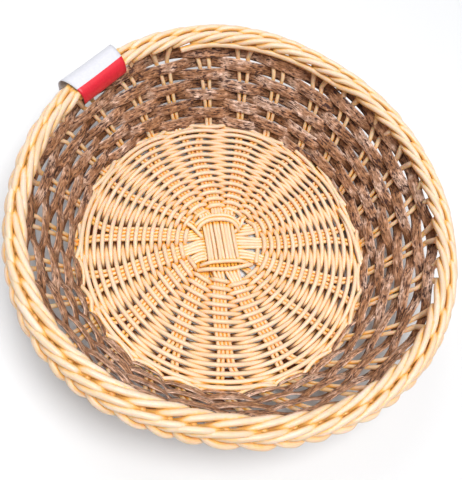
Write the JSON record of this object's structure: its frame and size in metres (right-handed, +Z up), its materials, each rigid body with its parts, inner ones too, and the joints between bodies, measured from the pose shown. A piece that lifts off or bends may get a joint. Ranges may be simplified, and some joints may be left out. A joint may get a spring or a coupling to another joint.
{
  "type": "round woven basket",
  "caption": "Open round shallow basket woven from plastic rattan, with a flat base, a flared wall of dark strip and a thick braided rim, for bread, fruit or small goods.",
  "frame": {"origin": "on the floor, under the middle of the rim's outline", "axes": "+Z up out of the bowl; the base lies flat on the XY plane"},
  "size_m": [0.3026, 0.3008, 0.0769],
  "materials": {
    "cream_strand": "round cream plastic rattan strand with a soft gloss",
    "brown_strip": "flat brown plastic strip with a mottled wood-grain print",
    "label_card": "bare folded card label, white outside with a red flap"
  },
  "bodies": {
    "root": {"base_spoke_01": "cream_strand", "base_spoke_02": "cream_strand", "base_spoke_03": "cream_strand", "base_spoke_04": "cream_strand", "base_spoke_05": "cream_strand", "base_spoke_06": "cream_strand", "base_spoke_07": "cream_strand", "base_spoke_08": "cream_strand", "base_spoke_09": "cream_strand", "base_spoke_10": "cream_strand", "base_spoke_11": "cream_strand", "base_spoke_12": "cream_strand", "base_spoke_13": "cream_strand", "base_spoke_14": "cream_strand", "base_spoke_15": "cream_strand", "centre_bundle_lower": "cream_strand", "centre_bundle_middle": "cream_strand", "centre_bundle_upper": "cream_strand", "centre_tie_far": "cream_strand", "centre_tie_near": "cream_strand", "base_weaver": "cream_strand", "base_edge_strand": "cream_strand", "stake_pair_01": "cream_strand", "stake_pair_02": "cream_strand", "stake_pair_03": "cream_strand", "stake_pair_04": "cream_strand", "stake_pair_05": "cream_strand", "stake_pair_06": "cream_strand", "stake_pair_07": "cream_strand", "stake_pair_08": "cream_strand", "stake_pair_09": "cream_strand", "stake_pair_10": "cream_strand", "stake_pair_11": "cream_strand", "stake_pair_12": "cream_strand", "stake_pair_13": "cream_strand", "stake_pair_14": "cream_strand", "stake_pair_15": "cream_strand", "stake_pair_16": "cream_strand", "stake_pair_17": "cream_strand", "stake_pair_18": "cream_strand", "stake_pair_19": "cream_strand", "stake_pair_20": "cream_strand", "stake_pair_21": "cream_strand", "stake_pair_22": "cream_strand", "stake_pair_23": "cream_strand", "stake_pair_24": "cream_strand", "stake_pair_25": "cream_strand", "stake_pair_26": "cream_strand", "stake_pair_27": "cream_strand", "wall_weaver": "brown_strip", "label": "label_card"}
  },
  "joints": []
}
